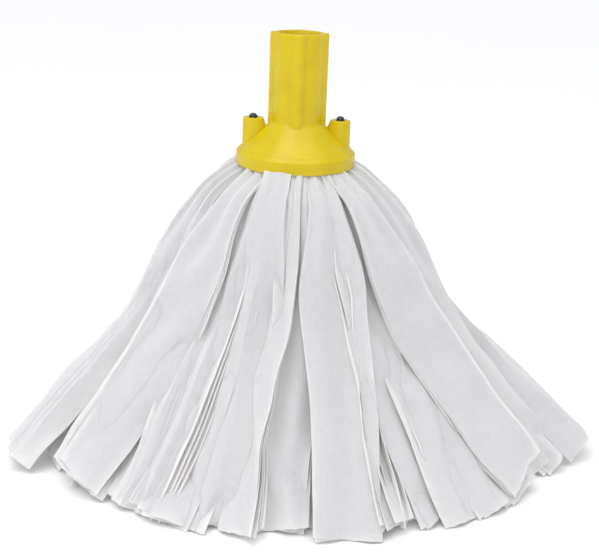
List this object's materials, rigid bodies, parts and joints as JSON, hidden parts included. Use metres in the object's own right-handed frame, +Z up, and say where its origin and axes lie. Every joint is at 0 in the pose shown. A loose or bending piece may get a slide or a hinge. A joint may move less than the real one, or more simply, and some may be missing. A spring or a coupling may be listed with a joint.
{
  "type": "strip mop head",
  "caption": "Push-in mop head: a ribbed tube socket on a cone-shaped collar that clamps layered non-woven fabric strips, splayed out to stand on the floor.",
  "frame": {"origin": "on the floor, under the axis of the socket", "axes": "+Z up along the socket and out of its handle bore, +X towards the right-hand screw boss and along the wider spread of the strips, -Y towards the front"},
  "size_m": [0.372, 0.247, 0.2655],
  "materials": {
    "yellow_moulding": "satin moulded",
    "white_strips": "soft non-woven",
    "black_screws": "gloss black"
  },
  "bodies": {
    "head": {"socket": "yellow_moulding", "clamp_plate": "yellow_moulding", "strip_fold": "white_strips", "screw_left": "black_screws", "screw_right": "black_screws"},
    "tuft_right": {"strip_1a": "white_strips", "strip_1b": "white_strips", "strip_1c": "white_strips", "strip_1d": "white_strips", "strip_1e": "white_strips", "strip_1f": "white_strips"},
    "tuft_back_right": {"strip_2a": "white_strips", "strip_2b": "white_strips", "strip_2c": "white_strips", "strip_2d": "white_strips", "strip_2e": "white_strips", "strip_2f": "white_strips"},
    "tuft_back": {"strip_3a": "white_strips", "strip_3b": "white_strips", "strip_3c": "white_strips", "strip_3d": "white_strips", "strip_3e": "white_strips", "strip_3f": "white_strips"},
    "tuft_back_left": {"strip_4a": "white_strips", "strip_4b": "white_strips", "strip_4c": "white_strips", "strip_4d": "white_strips", "strip_4e": "white_strips", "strip_4f": "white_strips"},
    "tuft_left": {"strip_5a": "white_strips", "strip_5b": "white_strips", "strip_5c": "white_strips", "strip_5d": "white_strips", "strip_5e": "white_strips", "strip_5f": "white_strips"},
    "tuft_front_left": {"strip_6a": "white_strips", "strip_6b": "white_strips", "strip_6c": "white_strips", "strip_6d": "white_strips", "strip_6e": "white_strips", "strip_6f": "white_strips"},
    "tuft_front": {"strip_7a": "white_strips", "strip_7b": "white_strips", "strip_7c": "white_strips", "strip_7d": "white_strips", "strip_7e": "white_strips", "strip_7f": "white_strips"},
    "tuft_front_right": {"strip_8a": "white_strips", "strip_8b": "white_strips", "strip_8c": "white_strips", "strip_8d": "white_strips", "strip_8e": "white_strips", "strip_8f": "white_strips"}
  },
  "joints": [
    {"name": "swing_right", "type": "hinge", "parent": "head", "child": "tuft_right", "pos_m": [0.028, 0, 0.188], "axis": [0, -1, 0], "range_deg": [-5, 30], "stiffness_Nm_per_rad": 0.25},
    {"name": "swing_back_right", "type": "hinge", "parent": "head", "child": "tuft_back_right", "pos_m": [0.0198, 0.0198, 0.188], "axis": [0.7071, -0.7071, 0], "range_deg": [-5, 30], "stiffness_Nm_per_rad": 0.25},
    {"name": "swing_back", "type": "hinge", "parent": "head", "child": "tuft_back", "pos_m": [0, 0.028, 0.188], "axis": [1, 0, 0], "range_deg": [-5, 30], "stiffness_Nm_per_rad": 0.25},
    {"name": "swing_back_left", "type": "hinge", "parent": "head", "child": "tuft_back_left", "pos_m": [-0.0198, 0.0198, 0.188], "axis": [0.7071, 0.7071, 0], "range_deg": [-5, 30], "stiffness_Nm_per_rad": 0.25},
    {"name": "swing_left", "type": "hinge", "parent": "head", "child": "tuft_left", "pos_m": [-0.028, 0, 0.188], "axis": [0, 1, 0], "range_deg": [-5, 30], "stiffness_Nm_per_rad": 0.25},
    {"name": "swing_front_left", "type": "hinge", "parent": "head", "child": "tuft_front_left", "pos_m": [-0.0198, -0.0198, 0.188], "axis": [-0.7071, 0.7071, 0], "range_deg": [-5, 30], "stiffness_Nm_per_rad": 0.25},
    {"name": "swing_front", "type": "hinge", "parent": "head", "child": "tuft_front", "pos_m": [0, -0.028, 0.188], "axis": [-1, 0, 0], "range_deg": [-5, 30], "stiffness_Nm_per_rad": 0.25},
    {"name": "swing_front_right", "type": "hinge", "parent": "head", "child": "tuft_front_right", "pos_m": [0.0198, -0.0198, 0.188], "axis": [-0.7071, -0.7071, 0], "range_deg": [-5, 30], "stiffness_Nm_per_rad": 0.25}
  ]
}
